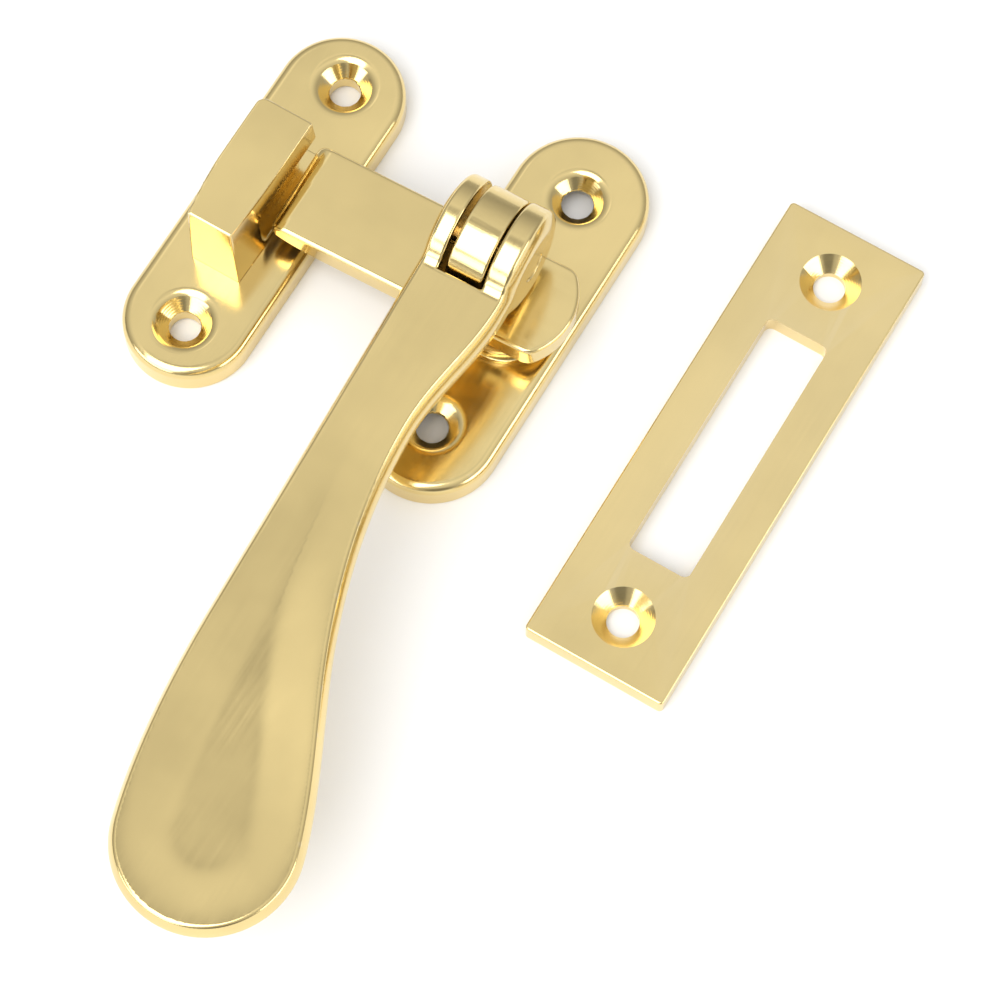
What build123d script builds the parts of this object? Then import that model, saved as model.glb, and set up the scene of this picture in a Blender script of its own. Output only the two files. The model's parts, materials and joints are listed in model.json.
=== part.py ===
from build123d import *
import os
from math import cos, radians, sin, sqrt

# Reversible casement window fastener: a base plate carrying a tongue that turns on a spindle,
# with a handle hinged on top of the tongue, a hook plate and a mortice plate.
# Origin: the spindle axis on the base plate's back plane. +Z out of the window,
# +Y along the base plate, -X towards the hook. All lengths are in millimetres.

# ---- driving dimensions -------------------------------------------------------------------
base_length, base_width, base_thickness = 57.0, 19.0, 4.5
base_screw_gap = 37.6           # between the two screw centres
base_screw_radius, base_sink_radius = 2.13, 4.25
base_recess_depth = 2.0         # hollow in the back, which holds the riveted spindle end
base_rim_width = 2.2            # flat rim left around that hollow
boss_radius, boss_top = 7.2, 6.2

plate_shoulder = 1.4            # rounded top edge of the two rounded plates
rim_softening = 0.3             # worn edge of every countersink

hook_plate_x, hook_plate_y = -35.55, -3.05
hook_plate_length, hook_plate_width, hook_plate_thickness = 55.7, 17.8, 4.6
hook_screw_gap = 40.3
hook_screw_radius, hook_sink_radius = 2.1, 4.15

hook_left, hook_right = -40.7, -32.0        # at its foot
hook_near, hook_far = -14.9, 6.1
hook_top = 16.5
hook_draft = 0.8                # both ends lean in by this much at the top
hook_lean = 0.7                 # the right side leans in by this much at the top
hook_left_cut = 1.0             # how far the left side runs in at the near end
hook_foot_cut, hook_top_cut = 0.2, 0.5   # how far the right side runs in there
hook_bend_y = -5.5              # where both start to run in
hook_slot_depth = 3.8
hook_slot_floor, hook_slot_roof = 5.6, 12.2
hook_stop_y = -8.75             # face the tongue comes to rest on
tenon_width, tenon_length = 4.0, 14.0

mortice_x, mortice_y = 34.65, -1.25
mortice_length, mortice_width, mortice_thickness = 70.4, 20.4, 3.0
mortice_slot_length, mortice_slot_width, mortice_slot_corner = 37.6, 9.0, 1.0
mortice_screw_gap = 54.8
mortice_screw_radius, mortice_sink_radius = 2.16, 4.15
mortice_corner, mortice_edge = 0.6, 0.3

turn_angle = 2.2                # the tongue rests on the hook's stop, turned this far
tongue_half_width = 6.8
tongue_bottom, tongue_top = 7.0, 11.0
tongue_tip = -32.0
tongue_end_radius = 9.6         # round end, about the spindle
tongue_edge = 0.7
nose_top_length, nose_under_length, nose_edge_z = 2.5, 9.0, 9.2

lug_left, lug_right = -5.7, -0.5
lug_radius = 7.3
lug_foot_near, lug_foot_far = -5.6, 6.6
pin_v, pin_z, pin_radius = 0.8, 20.0, 2.0
running_clearance = 0.05
pin_end_gap = 0.15              # the riveted pin is dressed off this far below the ears' sides

ear_left, ear_left_inner = -9.6, -6.4
ear_right_inner, ear_right = -0.25, 3.6
ear_radius = 7.5
ear_edge = 0.5
fork_end_radius = 8.0           # round end of the fork's slot, clear of the lug

root_half_thickness = 3.5       # the blade is thickest beside the ears
tip_half_thickness = 1.9        # and thins evenly towards the bulb's end
blade_edge = 1.1
bulb_u, bulb_v, bulb_radius = 5.1, -84.6, 12.1
bulb_left_angle, bulb_right_angle = 195.0, 15.0
blade_left_straight_end = -60.0
neck_u, neck_v = 1.1, -27.0     # narrowest place of the neck, on its curved side

spindle_radius = 4.0
spindle_seat_depth = 3.0        # how far it is pressed up into the tongue
rivet_head_radius, rivet_head_bottom = 5.4, 0.3
back_washer_radius, back_washer_thickness = 6.6, 0.6
spring_washer_radius, spring_washer_thickness = 6.2, 0.35
thrust_washer_thickness = 0.65
washer_clearance = 0.15
face_gap = 0.05                 # between faces that turn on each other

os.makedirs("parts", exist_ok=True)

# ---- planes of the turning group: u away from the hook, v across the tongue ---------------
turn = Plane(
    origin=(0, 0, 0),
    x_dir=(cos(radians(turn_angle)), sin(radians(turn_angle)), 0),
    z_dir=(0, 0, 1),
)
along_tongue = Plane(origin=(0, 0, 0), x_dir=turn.x_dir, z_dir=-turn.y_dir)    # local (u, z)
across_tongue = Plane(origin=(0, 0, 0), x_dir=turn.y_dir, z_dir=turn.x_dir)    # local (v, z)
level = turn.offset(pin_z)                                                     # at the pin


def pin_line(u):
    """Plane square to the knuckle pin at u, with its origin on the pin's axis."""
    return Plane(
        origin=turn.from_local_coords(Vector(u, pin_v, pin_z)),
        x_dir=turn.y_dir,
        z_dir=turn.x_dir,
    )


beside_pin = Plane(                             # local (u, z), with its origin on the pin's axis
    origin=turn.from_local_coords(Vector(0, pin_v, pin_z)),
    x_dir=turn.x_dir,
    z_dir=-turn.y_dir,
)

# ---- base plate ---------------------------------------------------------------------------
with BuildPart() as base_plate:
    with BuildSketch():
        SlotOverall(base_length, base_width, rotation=90)
    extrude(amount=base_thickness)
    fillet(base_plate.faces().sort_by(Axis.Z)[-1].edges(), radius=plate_shoulder)
    with BuildSketch(Plane.XY.offset(base_thickness - face_gap)):
        Circle(boss_radius)
    extrude(amount=boss_top - base_thickness + face_gap)
    with BuildSketch():
        SlotOverall(base_length - 2 * base_rim_width, base_width - 2 * base_rim_width, rotation=90)
    extrude(amount=base_recess_depth, mode=Mode.SUBTRACT)
    with Locations((0, 0, boss_top)):
        Hole(spindle_radius + running_clearance)
    with Locations(Plane.XY.offset(base_thickness)):
        with GridLocations(0, base_screw_gap, 1, 2):
            CounterSinkHole(base_screw_radius, base_sink_radius, counter_sink_angle=90)
    sink_rims = base_plate.edges().filter_by(GeomType.CIRCLE).filter_by(
        lambda e: abs(e.radius - base_sink_radius) < 0.01
    )
    fillet(sink_rims, radius=rim_softening)
base_plate.part.label = "base_plate"
export_step(base_plate.part, "parts/base_plate.step")

# ---- spindle and its washers --------------------------------------------------------------
web_underside = base_recess_depth
spring_washer_top = web_underside - face_gap
back_washer_top = spring_washer_top - spring_washer_thickness
rivet_head_top = back_washer_top - back_washer_thickness

with BuildPart() as pivot_spindle:
    with BuildSketch(Plane.XY.offset(rivet_head_bottom)):
        Circle(spindle_radius)
    extrude(amount=tongue_bottom + spindle_seat_depth - rivet_head_bottom)
    with BuildSketch(Plane.XY.offset(rivet_head_bottom)):
        Circle(rivet_head_radius)
    extrude(amount=rivet_head_top - rivet_head_bottom)
    chamfer(pivot_spindle.edges().group_by(Axis.Z)[0], length=0.4)
pivot_spindle.part.label = "pivot_spindle"
export_step(pivot_spindle.part, "parts/pivot_spindle.step")

with BuildPart() as back_washer:
    with BuildSketch(Plane.XY.offset(rivet_head_top)):
        Circle(back_washer_radius)
        Circle(spindle_radius + washer_clearance, mode=Mode.SUBTRACT)
    extrude(amount=back_washer_thickness)
back_washer.part.label = "back_washer"
export_step(back_washer.part, "parts/back_washer.step")

with BuildPart() as spring_washer:
    with BuildSketch(Plane.XY.offset(back_washer_top)):
        Circle(spring_washer_radius)
        Circle(spindle_radius + washer_clearance, mode=Mode.SUBTRACT)
    extrude(amount=spring_washer_thickness)
spring_washer.part.label = "spring_washer"
export_step(spring_washer.part, "parts/spring_washer.step")

with BuildPart() as thrust_washer:
    with BuildSketch(Plane.XY.offset(boss_top)):
        Circle(boss_radius)
        Circle(spindle_radius + washer_clearance, mode=Mode.SUBTRACT)
    extrude(amount=thrust_washer_thickness)
thrust_washer.part.label = "thrust_washer"
export_step(thrust_washer.part, "parts/thrust_washer.step")

# ---- tongue: flat bar with a bull nose, a round end and the hinge lug ----------------------
end_corner_u = sqrt(tongue_end_radius**2 - tongue_half_width**2)

with BuildPart() as tongue:
    with BuildSketch(turn.offset(tongue_bottom)):
        with BuildLine():
            Polyline(
                (end_corner_u, tongue_half_width),
                (tongue_tip, tongue_half_width),
                (tongue_tip, -tongue_half_width),
                (end_corner_u, -tongue_half_width),
            )
            ThreePointArc(
                (end_corner_u, -tongue_half_width),
                (tongue_end_radius, 0),
                (end_corner_u, tongue_half_width),
            )
        make_face()
    extrude(amount=tongue_top - tongue_bottom)
    with BuildSketch(along_tongue):
        with BuildLine():
            over = Spline(
                (tongue_tip + nose_top_length, tongue_top),
                (tongue_tip, nose_edge_z),
                tangents=((-1, 0), (0, -1)),
            )
            under = Spline(
                (tongue_tip, nose_edge_z),
                (tongue_tip + nose_under_length, tongue_bottom),
                tangents=((0.5, -1), (1, 0)),
            )
            Polyline(
                under @ 1,
                (tongue_end_radius + 1, tongue_bottom),
                (tongue_end_radius + 1, tongue_top),
                over @ 0,
            )
        make_face()
    extrude(amount=tongue_half_width + 1, both=True, mode=Mode.INTERSECT)
    fillet(
        tongue.edges().filter_by(Axis.Z).filter_by(lambda e: e.center().length > 8),
        radius=1.2,
    )
    fillet(tongue.faces().sort_by(Axis.Z)[-1].edges(), radius=tongue_edge)
    with BuildSketch(Plane(origin=turn.from_local_coords(Vector(lug_left, 0, 0)),
                           x_dir=turn.y_dir, z_dir=turn.x_dir)):
        with BuildLine():
            foot = Line((lug_foot_near, tongue_top - 0.5), (lug_foot_far, tongue_top - 0.5))
            crown = CenterArc((pin_v, pin_z), lug_radius, 0, 180)
            Line(crown @ 0, foot @ 1)
            Line(crown @ 1, foot @ 0)
        make_face()
    extrude(amount=lug_right - lug_left)
    with BuildSketch(pin_line(lug_left)):
        Circle(pin_radius + running_clearance)
    extrude(amount=lug_right - lug_left, mode=Mode.SUBTRACT)
    with BuildSketch(turn.offset(tongue_bottom)):
        Circle(spindle_radius)
    extrude(amount=spindle_seat_depth, mode=Mode.SUBTRACT)
tongue.part.label = "tongue"
export_step(tongue.part, "parts/tongue.step")

# ---- handle: forked end around the lug, straight inner edge, bulb flaring to one side -----
tip_v = bulb_v - bulb_radius - pin_v            # end of the bulb, measured from the pin

with BuildPart() as handle:
    with BuildSketch(level):
        with BuildLine():
            bulb = CenterArc(
                (bulb_u, bulb_v), bulb_radius, bulb_left_angle,
                360 + bulb_right_angle - bulb_left_angle,
            )
            inner_edge = Line((ear_left, pin_v), (ear_left, blade_left_straight_end))
            Spline(inner_edge @ 1, bulb @ 0, tangents=((0, -1), bulb % 0))
            flare = Spline(
                bulb @ 1, (8.2, -60.0), (neck_u, neck_v),
                tangents=(bulb % 1, (0, 1)),
            )
            root = Spline(flare @ 1, (ear_right, -7.0), tangents=((0, 1), (0, 1)))
            Polyline(root @ 1, (ear_right, pin_v), inner_edge @ 0)
        make_face()
    extrude(amount=root_half_thickness, both=True)
    with BuildSketch(pin_line(0)):
        with BuildLine():
            Polyline(
                (0, root_half_thickness),
                (tip_v, tip_half_thickness),
                (tip_v, -tip_half_thickness),
                (0, -root_half_thickness),
                close=True,
            )
        make_face()
    extrude(amount=bulb_u + bulb_radius + 1, both=True, mode=Mode.INTERSECT)
    blade_faces = handle.faces().sort_by(Axis.Z)
    fillet(blade_faces[0].edges() + blade_faces[-1].edges(), radius=blade_edge)
    with BuildSketch(beside_pin):
        with BuildLine():
            FilletPolyline(
                (ear_left, 0), (ear_left, ear_radius), (ear_right, ear_radius), (ear_right, 0),
                radius=ear_edge,
            )
            Line((ear_right, 0), (ear_left, 0))
        make_face()
    revolve(axis=Axis(beside_pin.origin, turn.x_dir))
    with BuildSketch(pin_line(ear_left_inner)):
        Circle(fork_end_radius)
    extrude(amount=ear_right_inner - ear_left_inner, mode=Mode.SUBTRACT)
    with BuildSketch(pin_line(ear_left)):
        Circle(pin_radius)
    extrude(amount=ear_right - ear_left, mode=Mode.SUBTRACT)
handle.part.label = "handle"
export_step(handle.part, "parts/handle.step")

with BuildPart() as knuckle_pin:
    with BuildSketch(pin_line(ear_left + pin_end_gap)):
        Circle(pin_radius)
    extrude(amount=ear_right - ear_left - 2 * pin_end_gap)
knuckle_pin.part.label = "knuckle_pin"
export_step(knuckle_pin.part, "parts/knuckle_pin.step")

# ---- hook plate and hook -------------------------------------------------------------------
hook_x = (hook_left + hook_right) / 2
hook_y = (hook_near + hook_far) / 2

with BuildPart() as hook_plate:
    with BuildSketch():
        with Locations((hook_plate_x, hook_plate_y)):
            SlotOverall(hook_plate_length, hook_plate_width, rotation=90)
    extrude(amount=hook_plate_thickness)
    fillet(hook_plate.faces().sort_by(Axis.Z)[-1].edges(), radius=plate_shoulder)
    with Locations((hook_plate_x, hook_plate_y, hook_plate_thickness)):
        with GridLocations(0, hook_screw_gap, 1, 2):
            CounterSinkHole(hook_screw_radius, hook_sink_radius, counter_sink_angle=90)
    sink_rims = hook_plate.edges().filter_by(GeomType.CIRCLE).filter_by(
        lambda e: abs(e.radius - hook_sink_radius) < 0.01
    )
    fillet(sink_rims, radius=rim_softening)
    with BuildSketch():
        with Locations((hook_x, hook_y)):
            Rectangle(tenon_width, tenon_length)
    extrude(amount=hook_plate_thickness, mode=Mode.SUBTRACT)
hook_plate.part.label = "hook_plate"
export_step(hook_plate.part, "parts/hook_plate.step")

with BuildPart() as hook:
    # it narrows towards its top, and towards its near end
    for height, draft, lean, right_cut in (
        (hook_plate_thickness, 0, 0, hook_foot_cut),
        (hook_top, hook_draft, hook_lean, hook_top_cut),
    ):
        with BuildSketch(Plane.XY.offset(height)):
            with BuildLine():
                Polyline(
                    (hook_left + hook_left_cut, hook_near + draft),
                    (hook_left, hook_bend_y),
                    (hook_left, hook_far - draft),
                    (hook_right - lean, hook_far - draft),
                    (hook_right - lean, hook_bend_y),
                    (hook_right - lean - right_cut, hook_near + draft),
                    close=True,
                )
            make_face()
    loft()
    with BuildSketch(Plane.XY.offset(hook_slot_floor)):
        with Locations((hook_right, hook_stop_y)):
            Rectangle(2 * hook_slot_depth, hook_far - hook_stop_y + 1, align=(Align.CENTER, Align.MIN))
    extrude(amount=hook_slot_roof - hook_slot_floor, mode=Mode.SUBTRACT)
    fillet(hook.faces().sort_by(Axis.Z)[-1].edges(), radius=0.4)
    with BuildSketch():
        with Locations((hook_x, hook_y)):
            Rectangle(tenon_width, tenon_length)
    extrude(amount=hook_plate_thickness)
hook.part.label = "hook"
export_step(hook.part, "parts/hook.step")

# ---- mortice plate -------------------------------------------------------------------------
with BuildPart() as mortice_plate:
    with BuildSketch():
        with Locations((mortice_x, mortice_y)):
            RectangleRounded(mortice_width, mortice_length, mortice_corner)
    extrude(amount=mortice_thickness)
    fillet(mortice_plate.faces().sort_by(Axis.Z)[-1].edges(), radius=mortice_edge)
    with BuildSketch():
        with Locations((mortice_x, mortice_y)):
            RectangleRounded(mortice_slot_width, mortice_slot_length, mortice_slot_corner)
    extrude(amount=mortice_thickness, mode=Mode.SUBTRACT)
    with Locations((mortice_x, mortice_y, mortice_thickness)):
        with GridLocations(0, mortice_screw_gap, 1, 2):
            CounterSinkHole(mortice_screw_radius, mortice_sink_radius, counter_sink_angle=90)
mortice_plate.part.label = "mortice_plate"
export_step(mortice_plate.part, "parts/mortice_plate.step")
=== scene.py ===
import json
from math import cos, pi, radians, sin, sqrt

import bmesh
import bpy
import numpy as np
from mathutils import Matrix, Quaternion, Vector

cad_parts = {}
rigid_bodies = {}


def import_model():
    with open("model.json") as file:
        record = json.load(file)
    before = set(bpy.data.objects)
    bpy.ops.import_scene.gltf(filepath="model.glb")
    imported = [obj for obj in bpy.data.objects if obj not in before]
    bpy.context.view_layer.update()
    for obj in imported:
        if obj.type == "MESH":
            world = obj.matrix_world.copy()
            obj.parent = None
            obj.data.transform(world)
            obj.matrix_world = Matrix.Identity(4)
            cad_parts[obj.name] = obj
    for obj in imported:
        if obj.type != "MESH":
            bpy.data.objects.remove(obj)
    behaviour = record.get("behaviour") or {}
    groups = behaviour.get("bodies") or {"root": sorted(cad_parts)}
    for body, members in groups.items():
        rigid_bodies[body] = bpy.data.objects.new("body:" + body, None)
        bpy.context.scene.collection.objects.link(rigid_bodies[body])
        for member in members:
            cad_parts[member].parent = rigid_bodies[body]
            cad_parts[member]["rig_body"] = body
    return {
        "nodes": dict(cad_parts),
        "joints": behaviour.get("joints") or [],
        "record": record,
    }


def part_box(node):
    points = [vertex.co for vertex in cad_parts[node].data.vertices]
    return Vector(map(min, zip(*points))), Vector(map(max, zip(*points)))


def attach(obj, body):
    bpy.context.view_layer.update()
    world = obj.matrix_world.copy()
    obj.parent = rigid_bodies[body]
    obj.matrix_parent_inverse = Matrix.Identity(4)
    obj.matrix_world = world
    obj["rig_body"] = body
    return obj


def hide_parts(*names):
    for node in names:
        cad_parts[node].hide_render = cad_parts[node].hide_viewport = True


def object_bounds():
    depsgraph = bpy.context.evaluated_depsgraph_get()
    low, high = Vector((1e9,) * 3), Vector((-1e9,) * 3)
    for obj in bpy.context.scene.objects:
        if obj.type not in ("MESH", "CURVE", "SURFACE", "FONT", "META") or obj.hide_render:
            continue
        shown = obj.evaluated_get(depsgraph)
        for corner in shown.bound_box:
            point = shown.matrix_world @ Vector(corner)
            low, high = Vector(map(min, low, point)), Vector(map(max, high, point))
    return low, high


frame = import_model()
cad_low, cad_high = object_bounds()
MM = 0.001


# ---- camera: product-shot view, looking down on the parts laid flat -------------------------
def make_camera():
    azimuth, elevation, roll = radians(30.33), radians(69.22), radians(0.56)
    distance = 0.47166
    aim = Vector((0.01194, -0.02223, 0.0))
    focal_in_image_heights = 3.6103
    data = bpy.data.cameras.new("camera")
    data.sensor_width = 36.0
    data.lens = data.sensor_width * focal_in_image_heights
    data.clip_start, data.clip_end = 0.01, 20.0
    camera = bpy.data.objects.new("camera", data)
    back = Vector((sin(azimuth) * cos(elevation), -cos(azimuth) * cos(elevation), sin(elevation)))
    camera.rotation_mode = "QUATERNION"
    upright = (-back).to_track_quat("-Z", "Y")
    camera.rotation_quaternion = upright @ Quaternion((0, 0, 1), roll)
    camera.location = aim + back * distance
    bpy.context.scene.collection.objects.link(camera)
    bpy.context.scene.camera = camera


make_camera()


# ---- light: a pale room, a large soft box overhead in front, low ones at front left and right ---
# height on the unit sphere, 0 at the horizon and 1 at the zenith, and the room's grey there
ROOM_GREYS = ((0.0, 0.55), (0.25, 0.45), (0.55, 0.62), (0.80, 0.84), (0.93, 0.98), (1.0, 0.82))
# azimuth, elevation, radius of the full patch, radius where it ends, gain
WORLD_PATCHES = (
    (39, 20, 10, 19, 0.50),        # the dark gap between the two low boxes
    (-72, 4, 6, 14, 0.60),         # a dark corner on the left
    (239, 76, 0, 9, 0.60),         # three dimmer patches of ceiling
    (172, 75, 3, 9, 0.90),
    (215, 60, 1, 5, 0.86),
    (232, 55, 3, 7, 1.35),         # a pale panel behind on the left
)


def towards(azimuth, elevation):
    """Unit vector; azimuth 0 is -Y, 90 is +X."""
    a, e = radians(azimuth), radians(elevation)
    return Vector((sin(a) * cos(e), -cos(a) * cos(e), sin(e)))


def make_world():
    world = bpy.data.worlds.new("studio")
    bpy.context.scene.world = world
    world.use_nodes = True
    nodes, links = world.node_tree.nodes, world.node_tree.links
    nodes.clear()
    out = nodes.new("ShaderNodeOutputWorld")
    background = nodes.new("ShaderNodeBackground")
    ramp = nodes.new("ShaderNodeValToRGB")
    split = nodes.new("ShaderNodeSeparateXYZ")
    coords = nodes.new("ShaderNodeTexCoord")
    links.new(coords.outputs["Generated"], split.inputs[0])
    links.new(split.outputs["Z"], ramp.inputs[0])
    links.new(background.outputs[0], out.inputs[0])
    ramp.color_ramp.elements.remove(ramp.color_ramp.elements[1])
    for i, (place, grey) in enumerate(ROOM_GREYS):
        stop = ramp.color_ramp.elements[0] if i == 0 else ramp.color_ramp.elements.new(place)
        stop.position = place
        stop.color = (grey, grey, grey, 1)
    level = ramp.outputs[0]
    for azimuth, elevation, inner, outer, gain in WORLD_PATCHES:
        facing = nodes.new("ShaderNodeVectorMath")
        facing.operation = "DOT_PRODUCT"
        facing.inputs[1].default_value = towards(azimuth, elevation)
        links.new(coords.outputs["Generated"], facing.inputs[0])
        patch = nodes.new("ShaderNodeMapRange")
        patch.interpolation_type = "SMOOTHSTEP"
        patch.inputs["From Min"].default_value = cos(radians(outer))
        patch.inputs["From Max"].default_value = cos(radians(inner))
        patch.inputs["To Min"].default_value = 1.0
        patch.inputs["To Max"].default_value = gain
        links.new(facing.outputs["Value"], patch.inputs["Value"])
        product = nodes.new("ShaderNodeVectorMath")
        product.operation = "MULTIPLY"
        links.new(level, product.inputs[0])
        links.new(patch.outputs["Result"], product.inputs[1])
        level = product.outputs[0]
    links.new(level, background.inputs[0])


def soft_box(name, azimuth, elevation, distance, width, height, radiance):
    data = bpy.data.lights.new(name, "AREA")
    data.shape = "RECTANGLE"
    data.size, data.size_y = width, height
    data.energy = radiance * pi * width * height
    lamp = bpy.data.objects.new(name, data)
    back = towards(azimuth, elevation)
    lamp.location = back * distance
    lamp.rotation_mode = "QUATERNION"
    lamp.rotation_quaternion = (-back).to_track_quat("-Z", "Y")
    bpy.context.scene.collection.objects.link(lamp)


make_world()
# azimuth, elevation and distance of the box, its width and height, its radiance
soft_box("large_box", -12, 58, 2.4, 1.70, 2.30, 3.2)
soft_box("left_box", -22, 20, 1.2, 1.15, 0.36, 3.0)
soft_box("right_box", 91, 17, 1.2, 0.95, 0.42, 3.0)


# ---- floor ----------------------------------------------------------------------------------
FLOOR_HALF, FLOOR_GAP = 3.0, 0.00002


def make_floor():
    half, z = FLOOR_HALF, cad_low.z - FLOOR_GAP
    corners = [(-half, -half, z), (half, -half, z), (half, half, z), (-half, half, z)]
    mesh = bpy.data.meshes.new("floor")
    mesh.from_pydata(corners, [], [(0, 1, 2, 3)])
    floor = bpy.data.objects.new("floor", mesh)
    bpy.context.scene.collection.objects.link(floor)
    material = bpy.data.materials.new("floor_white")
    material.use_nodes = True
    shader = material.node_tree.nodes["Principled BSDF"]
    shader.inputs["Base Color"].default_value = (0.93, 0.93, 0.93, 1)
    shader.inputs["Roughness"].default_value = 0.7
    mesh.materials.append(material)


make_floor()


# ---- polished castings -----------------------------------------------------------------------
# A casting's skin is the zero surface of a distance field, so that every edge is as soft as
# hand polishing leaves it. The CAD node's own mesh, evenly remeshed, is drawn onto that surface.
EVENING_ROUNDS, LAST_DRAWS = 4, 4
LEAST_SLOPE_SQUARED = 0.2           # keeps a step short where the field is nearly level


def smooth_min(a, b, blend):
    share = np.clip(0.5 + 0.5 * (b - a) / blend, 0, 1)
    return b * (1 - share) + a * share - blend * share * (1 - share)


def smooth_max(a, b, blend):
    return -smooth_min(-a, -b, blend)


def round_cross(a, b, radius):
    """Where both fields are solid, with the edge between their surfaces rounded to radius."""
    a, b = a + radius, b + radius
    return np.minimum(np.maximum(a, b), 0) + np.hypot(np.maximum(a, 0), np.maximum(b, 0)) - radius


def outline_distance(x, y, corners):
    """Signed distance of the points (x, y) from a closed outline, negative inside."""
    nearest = np.full(len(x), 1e9)
    inside = np.zeros(len(x), bool)
    for (x0, y0), (x1, y1) in zip(corners, np.roll(corners, -1, axis=0)):
        dx, dy = x1 - x0, y1 - y0
        share = np.clip(((x - x0) * dx + (y - y0) * dy) / (dx * dx + dy * dy), 0, 1)
        nearest = np.minimum(nearest, np.hypot(x - x0 - share * dx, y - y0 - share * dy))
        if y0 != y1:
            inside ^= ((y0 > y) != (y1 > y)) & (x < x0 + (y - y0) * dx / dy)
    return np.where(inside, -nearest, nearest)


def arc(centre, radius_x, radius_y, start, end, steps):
    """Points of an ellipse's arc, from the angle start to the angle end in degrees."""
    t = np.radians(np.linspace(start, end, steps))
    return np.stack([centre[0] + radius_x * np.cos(t), centre[1] + radius_y * np.sin(t)], 1)


def slopes(field, points, step=0.01):
    out = np.empty_like(points)
    for axis in range(3):
        ahead, behind = points.copy(), points.copy()
        ahead[:, axis] += step
        behind[:, axis] -= step
        out[:, axis] = (field(*ahead.T) - field(*behind.T)) / (2 * step)
    return out


def drawn_onto(field, points):
    slope = slopes(field, points)
    value = field(*points.T)
    return points - (value / np.maximum((slope**2).sum(1), LEAST_SLOPE_SQUARED))[:, None] * slope


def evened(points, pairs, share=0.5):
    """Every point moved part of the way to the middle of its neighbours."""
    count = np.bincount(pairs.ravel(), minlength=len(points))
    middle = np.empty_like(points)
    for axis in range(3):
        forth = np.bincount(pairs[:, 0], points[pairs[:, 1], axis], len(points))
        back = np.bincount(pairs[:, 1], points[pairs[:, 0], axis], len(points))
        middle[:, axis] = (forth + back) / count
    return points + share * (middle - points)


def remeshed(node, size):
    """Points in millimetres, faces and edges of the CAD node's mesh, remeshed evenly."""
    mesh = frame["nodes"][node].data.copy()
    shell = bmesh.new()
    shell.from_mesh(mesh)
    bmesh.ops.remove_doubles(shell, verts=shell.verts, dist=1e-7)
    bmesh.ops.scale(shell, vec=(1 / MM, 1 / MM, 1 / MM), verts=shell.verts)
    shell.to_mesh(mesh)
    shell.free()
    helper = bpy.data.objects.new("helper", mesh)
    bpy.context.scene.collection.objects.link(helper)
    modifier = helper.modifiers.new("even", "REMESH")
    modifier.mode = "VOXEL"
    modifier.voxel_size = size
    even = bpy.data.meshes.new_from_object(
        helper.evaluated_get(bpy.context.evaluated_depsgraph_get())
    )
    points = np.empty(len(even.vertices) * 3)
    even.vertices.foreach_get("co", points)
    pairs = np.empty(len(even.edges) * 2, int)
    even.edges.foreach_get("vertices", pairs)
    faces = [tuple(p.vertices) for p in even.polygons]
    bpy.data.objects.remove(helper)
    bpy.data.meshes.remove(even)
    bpy.data.meshes.remove(mesh)
    return points.reshape(-1, 3), faces, pairs.reshape(-1, 2)


def casting(name, node, field, to_local, size):
    """Builds the piece that stands for a CAD node: field(u, v, z) in millimetres, in the axes
    whose rotation from the row frame is to_local."""
    points, faces, pairs = remeshed(node, size)
    points = points @ to_local.T
    for _ in range(EVENING_ROUNDS):
        points = drawn_onto(field, points)
        points = drawn_onto(field, points)
        points = evened(points, pairs)
    for _ in range(LAST_DRAWS):
        points = drawn_onto(field, points)
    normals = slopes(field, points)
    normals /= np.linalg.norm(normals, axis=1)[:, None]
    mesh = bpy.data.meshes.new(name)
    mesh.from_pydata((points @ to_local * MM).tolist(), [], faces)
    mesh.polygons.foreach_set("use_smooth", [True] * len(mesh.polygons))
    mesh.normals_split_custom_set_from_vertices((normals @ to_local).tolist())
    piece = bpy.data.objects.new(name, mesh)
    bpy.context.scene.collection.objects.link(piece)
    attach(piece, frame["nodes"][node]["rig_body"])
    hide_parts(node)
    return piece


# ---- the two rounded plates ------------------------------------------------------------------
ROW_AXES = np.eye(3)
SHOULDER = 1.4                      # rounded top edge
CROWN = 0.10                        # the top is polished this much lower at its long edges
RIM_SOFTNESS = 0.55                 # worn countersink rims
SINK_RADIUS = {"base_plate": 3.95, "hook_plate": 4.15, "mortice_plate": 4.15}


def screw_holes(node):
    """Centres and radius of a plate's two screw holes, in millimetres."""
    mounts = frame["record"]["mounts"]
    mount = next(m for m in mounts if m["name"] == node + "_screws")
    x, y = mount["pos_m"][0] / MM, mount["pos_m"][1] / MM
    half_gap = mount["dims"]["spacing_y_mm"] / 2
    return [(x, y - half_gap), (x, y + half_gap)], mount["dims"]["hole_r_mm"]


def countersinks(node, x, y, z, top):
    centres, bore = screw_holes(node)
    cut = np.full(len(x), 1e9)
    for centre_x, centre_y in centres:
        reach = np.hypot(x - centre_x, y - centre_y)
        cone = (reach - SINK_RADIUS[node] + top - z) * sqrt(0.5)
        cut = np.minimum(cut, np.minimum(cone, reach - bore))
    return cut


def stadium(node, x, y):
    """Distance from the round-ended outline of a plate, and the place across it."""
    low, high = (np.array(corner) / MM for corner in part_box(node))
    half_width = (high[0] - low[0]) / 2
    half_straight = (high[1] - low[1]) / 2 - half_width
    across = x - (low[0] + high[0]) / 2
    lengthwise = np.maximum(np.abs(y - (low[1] + high[1]) / 2) - half_straight, 0)
    return np.hypot(across, lengthwise) - half_width, across / half_width


BASE_TOP = 4.5
BOSS_RADIUS, BOSS_TOP, BOSS_EDGE, BOSS_BLEND = 7.2, 6.2, 0.2, 0.4
RECESS_RIM, RECESS_TOP, RECESS_EDGE = 2.2, 2.0, 0.2
SPINDLE_BORE, BORE_EDGE = 4.05, 0.1
PLATE_VOXEL = 0.35


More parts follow.
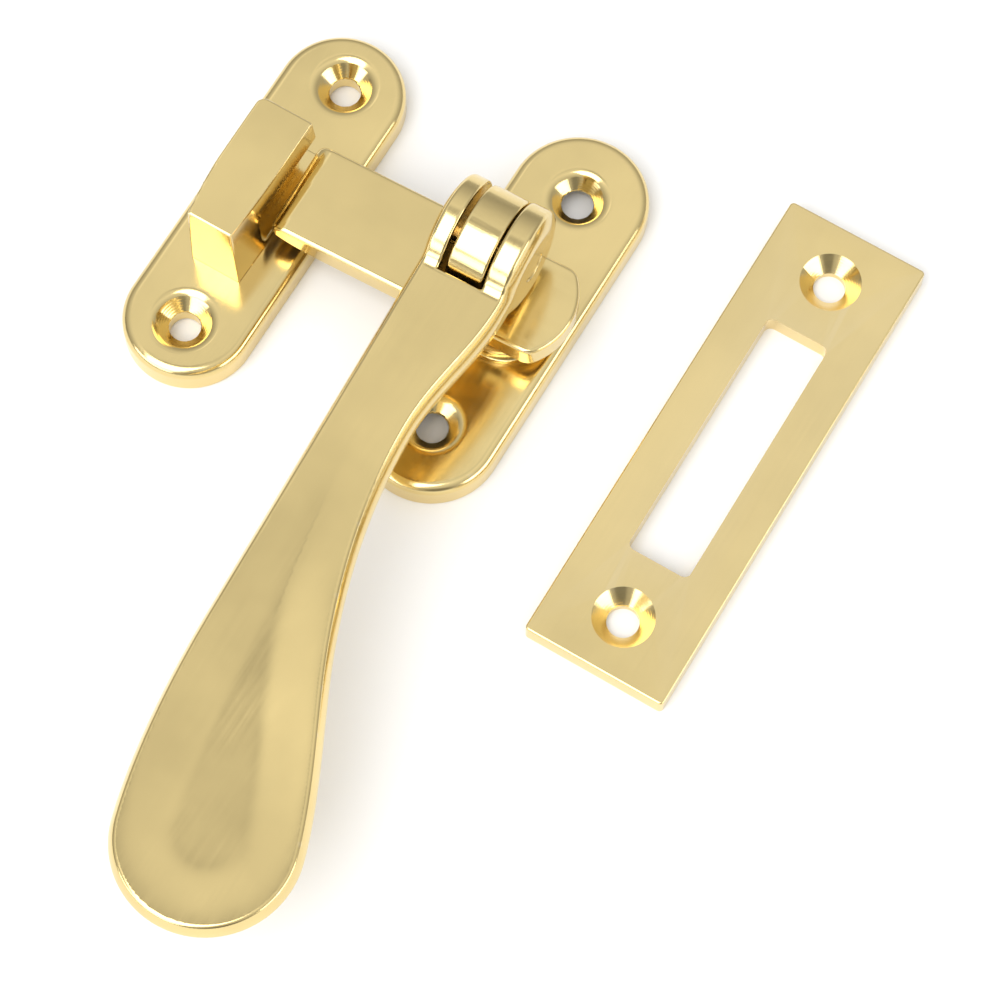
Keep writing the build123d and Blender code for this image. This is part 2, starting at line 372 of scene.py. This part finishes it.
def base_plate_field(x, y, z):
    outline, across = stadium("base_plate", x, y)
    plate = round_cross(outline, z - BASE_TOP + CROWN * across**2, SHOULDER)
    reach = np.hypot(x, y)
    boss = round_cross(reach - BOSS_RADIUS, z - BOSS_TOP, BOSS_EDGE)
    solid = np.maximum(smooth_min(plate, boss, BOSS_BLEND), -z)
    recess = np.maximum(outline + RECESS_RIM, z - RECESS_TOP)
    solid = smooth_max(solid, -recess, RECESS_EDGE)
    solid = smooth_max(solid, SPINDLE_BORE - reach, BORE_EDGE)
    return smooth_max(solid, -countersinks("base_plate", x, y, z, BASE_TOP), RIM_SOFTNESS)


HOOK_PLATE_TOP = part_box("hook_plate")[1].z / MM
TENON_HALF_WIDTH, TENON_HALF_LENGTH = 2.0, 7.0
hook_low, hook_high = (np.array(corner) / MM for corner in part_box("hook"))
HOOK_X, HOOK_Y = (hook_low[0] + hook_high[0]) / 2, (hook_low[1] + hook_high[1]) / 2


def tenon(x, y):
    return np.maximum(np.abs(x - HOOK_X) - TENON_HALF_WIDTH, np.abs(y - HOOK_Y) - TENON_HALF_LENGTH)


def hook_plate_field(x, y, z):
    outline, across = stadium("hook_plate", x, y)
    plate = round_cross(outline, z - HOOK_PLATE_TOP + CROWN * across**2, SHOULDER)
    solid = np.maximum(np.maximum(plate, -z), -tenon(x, y))
    sinks = countersinks("hook_plate", x, y, z, HOOK_PLATE_TOP)
    return smooth_max(solid, -sinks, RIM_SOFTNESS)


base_plate = casting("cast_base_plate", "base_plate", base_plate_field, ROW_AXES, PLATE_VOXEL)
hook_plate = casting("cast_hook_plate", "hook_plate", hook_plate_field, ROW_AXES, PLATE_VOXEL)

# ---- hook ------------------------------------------------------------------------------------
HOOK_DRAFT, HOOK_LEAN = 0.8, 0.7    # both ends and the right side lean in this much at the top
HOOK_BEND_Y = -4.5                  # where both sides start to run in towards the near end
HOOK_BEND_POWER = 1.7               # they run in slowly at first
HOOK_LEFT_CUT = 1.0                 # how far in the left side has run at the near end
HOOK_FOOT_CUT, HOOK_TOP_CUT = 0.2, 0.5      # and the right side, at its foot and at its top
HOOK_FAR_LEFT_RADIUS, HOOK_NEAR_RIGHT_RADIUS, HOOK_EDGE = 1.3, 0.25, 0.3
HOOK_STOP_Y = -8.75
SLOT_DEPTH, SLOT_FLOOR, SLOT_ROOF = 3.8, 5.6, 12.2
SLOT_CORNER, SLOT_EDGE = 1.2, 0.2
TENON_OVERLAP = 1.0                 # the tenon runs this far up into the block
HOOK_VOXEL = 0.25


def hook_field(x, y, z):
    rise = (z - HOOK_PLATE_TOP) / (hook_high[2] - HOOK_PLATE_TOP)
    beyond_bend = (HOOK_BEND_Y - y) / (HOOK_BEND_Y - hook_low[1])
    bend = np.clip(beyond_bend, 0, None) ** HOOK_BEND_POWER
    right_cut = (HOOK_FOOT_CUT + (HOOK_TOP_CUT - HOOK_FOOT_CUT) * rise) * bend
    right = x - hook_high[0] + HOOK_LEAN * rise + right_cut
    left = hook_low[0] + HOOK_LEFT_CUT * bend - x
    near = hook_low[1] + HOOK_DRAFT * rise - y
    far = y - hook_high[1] + HOOK_DRAFT * rise
    far_left = round_cross(left, far, HOOK_FAR_LEFT_RADIUS)
    near_right = round_cross(right, near, HOOK_NEAR_RIGHT_RADIUS)
    sides = round_cross(far_left, near_right, HOOK_EDGE)
    block = np.maximum(round_cross(sides, z - hook_high[2], HOOK_EDGE), HOOK_PLATE_TOP - z)
    foot = np.maximum(np.maximum(tenon(x, y), -z), z - HOOK_PLATE_TOP - TENON_OVERLAP)
    half_height = (SLOT_ROOF - SLOT_FLOOR) / 2
    height = np.abs(z - SLOT_FLOOR - half_height) - half_height
    mouth = round_cross(HOOK_STOP_Y - y, height, SLOT_CORNER)
    slot = np.maximum(mouth, hook_high[0] - SLOT_DEPTH - x)
    return np.minimum(smooth_max(block, -slot, SLOT_EDGE), foot)


hook = casting("cast_hook", "hook", hook_field, ROW_AXES, HOOK_VOXEL)

# ---- axes of the turning group, read from the hinge joint of the handle ----------------------
flip = next(j for j in frame["joints"] if j["name"] == "handle_flip")
along = -np.array(flip["axis"]) / np.linalg.norm(flip["axis"])
across = np.array([-along[1], along[0], 0.0])
to_turn = np.array([along, across, [0.0, 0.0, 1.0]])
pin = to_turn @ np.array(flip["pos_m"]) / MM
PIN_V, PIN_Z = pin[1], pin[2]
PIN_RADIUS, LUG_BORE = 2.0, 2.05


def box_in_turn(node):
    """Lowest and highest (u, v, z) of a CAD node, in millimetres, in the turning group's axes."""
    corners = np.array([v.co for v in frame["nodes"][node].data.vertices]) @ to_turn.T / MM
    return corners.min(0), corners.max(0)


# ---- tongue ----------------------------------------------------------------------------------
tongue_low, _ = box_in_turn("tongue")
TONGUE_TIP, TONGUE_BOTTOM, TONGUE_TOP = tongue_low[0], tongue_low[2], 11.0
TONGUE_HALF_WIDTH, TONGUE_END_RADIUS = 6.8, 9.6
NOSE_OVER, NOSE_UNDER, NOSE_Z = 2.5, 9.0, 9.2
TONGUE_EDGE, TONGUE_SHOULDER, TONGUE_CORNER = 0.6, 0.8, 1.3
LUG_LEFT, LUG_RIGHT, LUG_RADIUS = -5.7, -0.5, 7.3
LUG_FOOT_NEAR, LUG_FOOT_FAR, LUG_FOOT_DEPTH = -5.6, 6.6, 0.5
LUG_EDGE, LUG_BLEND, LUG_BORE_EDGE = 0.35, 0.8, 0.1
SEAT_RADIUS, SEAT_TOP = 4.0, 10.0
PAST_END = 2.0                      # the profile runs this far past the round end, which cuts it
TONGUE_VOXEL = 0.23


def tongue_profile():
    over = arc((TONGUE_TIP + NOSE_OVER, NOSE_Z), NOSE_OVER, TONGUE_TOP - NOSE_Z, 90, 180, 16)
    under = arc((TONGUE_TIP + NOSE_UNDER, NOSE_Z), NOSE_UNDER, NOSE_Z - TONGUE_BOTTOM, 180, 270, 24)
    beyond = TONGUE_END_RADIUS + PAST_END
    return np.concatenate([[(beyond, TONGUE_TOP)], over, under[1:], [(beyond, TONGUE_BOTTOM)]])


def lug_outline():
    crown = arc((PIN_V, PIN_Z), LUG_RADIUS, LUG_RADIUS, 0, 180, 72)
    foot_z = TONGUE_TOP - LUG_FOOT_DEPTH
    return np.concatenate([crown, [(LUG_FOOT_NEAR, foot_z), (LUG_FOOT_FAR, foot_z)]])


TONGUE_PROFILE, LUG_OUTLINE = tongue_profile(), lug_outline()


def tongue_field(u, v, z):
    round_end = np.hypot(np.maximum(u, 0), v) - TONGUE_END_RADIUS
    plan = round_cross(np.abs(v) - TONGUE_HALF_WIDTH, round_end, TONGUE_SHOULDER)
    plan = round_cross(plan, TONGUE_TIP - u, TONGUE_CORNER)
    bar = round_cross(plan, outline_distance(u, z, TONGUE_PROFILE), TONGUE_EDGE)
    middle = (LUG_LEFT + LUG_RIGHT) / 2
    lug_sides = np.abs(u - middle) - (LUG_RIGHT - LUG_LEFT) / 2
    lug = round_cross(lug_sides, outline_distance(v, z, LUG_OUTLINE), LUG_EDGE)
    solid = smooth_min(bar, lug, LUG_BLEND)
    solid = smooth_max(solid, LUG_BORE - np.hypot(v - PIN_V, z - PIN_Z), LUG_BORE_EDGE)
    seat = np.maximum(np.hypot(u, v) - SEAT_RADIUS, z - SEAT_TOP)
    return np.maximum(solid, -seat)


tongue = casting("cast_tongue", "tongue", tongue_field, to_turn, TONGUE_VOXEL)

# ---- handle ----------------------------------------------------------------------------------
handle_low, handle_high = box_in_turn("handle")
POLISHED_OFF = 0.03                 # keeps the ears just inside the CAD shape
EAR_LEFT, EAR_RIGHT = handle_low[0], 3.6
EAR_RADIUS = handle_high[2] - PIN_Z - POLISHED_OFF
ROOT_HALF, TIP_HALF = 3.5, 1.9      # half thickness of the blade beside the ears and at its end
ROOT_BLEND = 1.1                    # between the blade and the round of the ears
EDGE_LEAN, LEAN_DEPTH = 0.9, 3.0    # how far the edges lean in at the faces, and from how deep
EDGE_RADIUS = 0.35
FORK_LEFT, FORK_RIGHT, FORK_RADIUS, FORK_EDGE = -6.4, -0.25, 7.9, 0.5
PIN_BORE_EDGE = 0.1
BULB_RADIUS = 12.1
BULB_U, BULB_V = 5.1, handle_low[1] + BULB_RADIUS
NECK_U, NECK_V = 1.1, -27.0
SHOULDER_V = -7.0
STRAIGHT_END_V = -60.0
FLARE = (8.2, -60.0)                # the outer edge passes here on its way to the bulb
BULB_FROM, BULB_TO = 195.0, 375.0   # angles at which the edges meet the bulb's round
DISH_DEPTH, DISH_REACH = 0.85, 8.5  # how deep, and how far in from the edge it is that deep
DISH_FROM_V, DISH_FULL_V = -30.0, -70.0
DISH_RISE, DISH_RISE_LENGTH = 0.6, 25.0     # how much shallower it gets again by the bulb's end
PAST_EARS = 3.0                     # the outline runs this far past the ears' round, which cuts it
HANDLE_VOXEL = 0.25


def hermite(start, start_pull, end, end_pull, steps):
    """Points of a smooth curve that leaves start along start_pull and reaches end along end_pull."""
    t = np.linspace(0, 1, steps, endpoint=False)[:, None]
    return (
        (2 * t**3 - 3 * t**2 + 1) * np.array(start)
        + (t**3 - 2 * t**2 + t) * np.array(start_pull)
        + (3 * t**2 - 2 * t**3) * np.array(end)
        + (t**3 - t**2) * np.array(end_pull)
    )


def handle_outline():
    bulb = arc((BULB_U, BULB_V), BULB_RADIUS, BULB_RADIUS, BULB_FROM, BULB_TO, 60)

    def heading(angle, pull):
        return (-pull * sin(radians(angle)), pull * cos(radians(angle)))

    top_v = PIN_V + EAR_RADIUS + PAST_EARS
    # the pulls, in millimetres, set how long the curve keeps each heading
    inner = hermite((EAR_LEFT, STRAIGHT_END_V), (0, -26), bulb[0], heading(BULB_FROM, 26), 24)
    outer_low = hermite(bulb[-1], heading(BULB_TO, 22), FLARE, (-8.2, 19.5), 16)
    outer_high = hermite(FLARE, (-14.0, 33.5), (NECK_U, NECK_V), (0, 32), 24)
    root = hermite((NECK_U, NECK_V), (0, 22), (EAR_RIGHT, SHOULDER_V), (0, 22), 20)
    top = [(EAR_RIGHT, SHOULDER_V), (EAR_RIGHT, top_v), (EAR_LEFT, top_v)]
    return np.concatenate([inner, bulb[:-1], outer_low, outer_high, root, top])


HANDLE_OUTLINE = handle_outline()


def eased(share):
    return share * share * (3 - 2 * share)


def handle_field(u, v, z):
    plan = outline_distance(u, v, HANDLE_OUTLINE)
    height = z - PIN_Z
    from_pin = np.hypot(v - PIN_V, height)
    inwards = np.clip(-plan / DISH_REACH, 0, 1)
    along_dish = np.clip((v - DISH_FROM_V) / (DISH_FULL_V - DISH_FROM_V), 0, 1)
    rise = np.clip((DISH_FULL_V - v) / DISH_RISE_LENGTH, 0, 1)
    dish = DISH_DEPTH * eased(along_dish) * eased(inwards) * (1 - DISH_RISE * eased(rise))
    along_blade = np.clip((PIN_V - v) / (PIN_V - handle_low[1]), 0, 1)
    half = ROOT_HALF + (TIP_HALF - ROOT_HALF) * along_blade
    blade = np.maximum(np.abs(height) - half + dish, v - PIN_V)
    body = smooth_min(blade, from_pin - EAR_RADIUS, ROOT_BLEND)
    lean = EDGE_LEAN * np.clip(1 + body / LEAN_DEPTH, 0, 1) ** 2
    solid = round_cross(body, plan + lean, EDGE_RADIUS)
    middle = (FORK_LEFT + FORK_RIGHT) / 2
    fork = np.maximum(np.abs(u - middle) - (FORK_RIGHT - FORK_LEFT) / 2, from_pin - FORK_RADIUS)
    solid = smooth_max(solid, -fork, FORK_EDGE)
    return smooth_max(solid, PIN_RADIUS - from_pin, PIN_BORE_EDGE)


handle = casting("cast_handle", "handle", handle_field, to_turn, HANDLE_VOXEL)


# ---- materials ------------------------------------------------------------------------------
# Every metal has the same build-up: cloudy tone, brushing along one direction in gloss and
# relief, a slight unevenness left by polishing, a painted highlight that makes sharp edges
# paler and a painted shade that darkens hollows. A plate also has fine turned rings in its
# countersinks.
# Relief is in shares of RELIEF_HEIGHT, of which polishing leaves up to 1. That height and the
# rings' pitch and fade are in millimetres.
RELIEF_HEIGHT, BRUSH_RELIEF, RING_RELIEF = 0.03, 0.02, 0.04
RING_PITCH, RING_FADE = 0.28, 0.5


def metal(name, tint, roughness, grain, turned=()):
    material = bpy.data.materials.new(name)
    material.use_nodes = True
    nodes, links = material.node_tree.nodes, material.node_tree.links
    shader = nodes["Principled BSDF"]
    shader.inputs["Metallic"].default_value = 1.0
    place = nodes.new("ShaderNodeTexCoord").outputs["Object"]

    def noise(scale, detail, stretch=None):
        node = nodes.new("ShaderNodeTexNoise")
        node.inputs["Scale"].default_value = scale
        node.inputs["Detail"].default_value = detail
        source = place
        if stretch:
            mapping = nodes.new("ShaderNodeMapping")
            mapping.inputs["Scale"].default_value = stretch
            links.new(place, mapping.inputs[0])
            source = mapping.outputs[0]
        links.new(source, node.inputs["Vector"])
        return node.outputs["Fac"]

    def ranged(value, low, high, to_low, to_high):
        node = nodes.new("ShaderNodeMapRange")
        links.new(value, node.inputs["Value"])
        numbers = {"From Min": low, "From Max": high, "To Min": to_low, "To Max": to_high}
        for key, number in numbers.items():
            node.inputs[key].default_value = number
        return node.outputs["Result"]

    def calculated(operation, a, b):
        node = nodes.new("ShaderNodeMath")
        node.operation = operation
        for socket, value in zip(node.inputs, (a, b)):
            if isinstance(value, float):
                socket.default_value = value
            else:
                links.new(value, socket)
        return node.outputs[0]

    clouds = noise(55.0, 3.0)
    smears = noise(170.0, 4.0)
    brushing = noise(2600.0, 2.0, grain)
    waves = noise(95.0, 1.0)
    edges = nodes.new("ShaderNodeNewGeometry").outputs["Pointiness"]

    tone = nodes.new("ShaderNodeMixRGB")
    tone.inputs[1].default_value = (*(0.93 * c for c in tint), 1)
    tone.inputs[2].default_value = (*(min(1.0, 1.05 * c) for c in tint), 1)
    links.new(ranged(clouds, 0.35, 0.65, 0.0, 1.0), tone.inputs[0])
    # painted highlight: sharp convex edges are mixed towards a paler, brighter brass
    painted_edge_highlight = nodes.new("ShaderNodeMixRGB")
    painted_edge_highlight.inputs[2].default_value = (*(min(1.0, 0.85 * c + 0.15) for c in tint), 1)
    links.new(ranged(edges, 0.52, 0.62, 0.0, 0.6), painted_edge_highlight.inputs[0])
    links.new(tone.outputs[0], painted_edge_highlight.inputs[1])
    # painted shade: hollows are mixed towards a darker brass
    painted_hollow_shade = nodes.new("ShaderNodeMixRGB")
    painted_hollow_shade.inputs[2].default_value = (*(0.72 * c for c in tint), 1)
    links.new(ranged(edges, 0.48, 0.38, 0.0, 0.5), painted_hollow_shade.inputs[0])
    links.new(painted_edge_highlight.outputs[0], painted_hollow_shade.inputs[1])
    links.new(painted_hollow_shade.outputs[0], shader.inputs["Base Color"])

    smeared = ranged(smears, 0.3, 0.7, -0.03, 0.03)
    brushed = ranged(brushing, 0.3, 0.7, -0.02, 0.03)
    gloss = calculated("ADD", smeared, brushed)
    links.new(calculated("ADD", gloss, roughness), shader.inputs["Roughness"])

    relief = calculated("ADD", calculated("MULTIPLY", brushing, BRUSH_RELIEF), waves)
    for centre, radius in turned:
        apart = nodes.new("ShaderNodeVectorMath")
        apart.operation = "DISTANCE"
        flat_place = nodes.new("ShaderNodeVectorMath")
        flat_place.operation = "MULTIPLY"
        flat_place.inputs[1].default_value = (1, 1, 0)
        links.new(place, flat_place.inputs[0])
        links.new(flat_place.outputs[0], apart.inputs[0])
        apart.inputs[1].default_value = (centre[0] * MM, centre[1] * MM, 0)
        reach = apart.outputs["Value"]
        rings = calculated("SINE", calculated("MULTIPLY", reach, 2 * pi / (RING_PITCH * MM)), 0.0)
        within = ranged(reach, radius * MM, (radius - RING_FADE) * MM, 0.0, RING_RELIEF)
        relief = calculated("ADD", relief, calculated("MULTIPLY", rings, within))
    bump = nodes.new("ShaderNodeBump")
    bump.inputs["Strength"].default_value = 1.0
    bump.inputs["Distance"].default_value = RELIEF_HEIGHT * MM
    links.new(relief, bump.inputs["Height"])
    links.new(bump.outputs[0], shader.inputs["Normal"])
    return material


BRASS = (0.80, 0.63, 0.29)
PLAIN_BRASS = (0.72, 0.55, 0.26)
STEEL = (0.55, 0.55, 0.56)
GRAIN_X, GRAIN_Y = (0.03, 1.0, 1.0), (1.0, 0.03, 1.0)


def plate_brass(node):
    centres, _ = screw_holes(node)
    turned = [(centre, SINK_RADIUS[node]) for centre in centres]
    return metal("polished_" + node, BRASS, 0.15, GRAIN_Y, turned)


looks = {
    "handle": metal("polished_handle", BRASS, 0.16, GRAIN_Y),
    "tongue": metal("polished_tongue", BRASS, 0.15, GRAIN_X),
    "hook": metal("polished_hook", BRASS, 0.14, GRAIN_Y),
    "knuckle_pin": metal("polished_pin", BRASS, 0.18, GRAIN_X),
    "pivot_spindle": metal("turned_spindle", BRASS, 0.24, (1.0, 1.0, 12.0)),
    "back_washer": metal("washer_brass", PLAIN_BRASS, 0.32, GRAIN_X),
    "thrust_washer": metal("thrust_brass", PLAIN_BRASS, 0.30, GRAIN_Y),
    "spring_washer": metal("spring_steel", STEEL, 0.28, GRAIN_X),
}
for node in SINK_RADIUS:
    looks[node] = plate_brass(node)
pieces = {
    "handle": handle,
    "tongue": tongue,
    "hook": hook,
    "base_plate": base_plate,
    "hook_plate": hook_plate,
}
for name, node in frame["nodes"].items():
    for thing in (node, pieces.get(name)):
        if thing:
            thing.data.materials.clear()
            thing.data.materials.append(looks[name])

bpy.context.scene.view_settings.view_transform = "Standard"
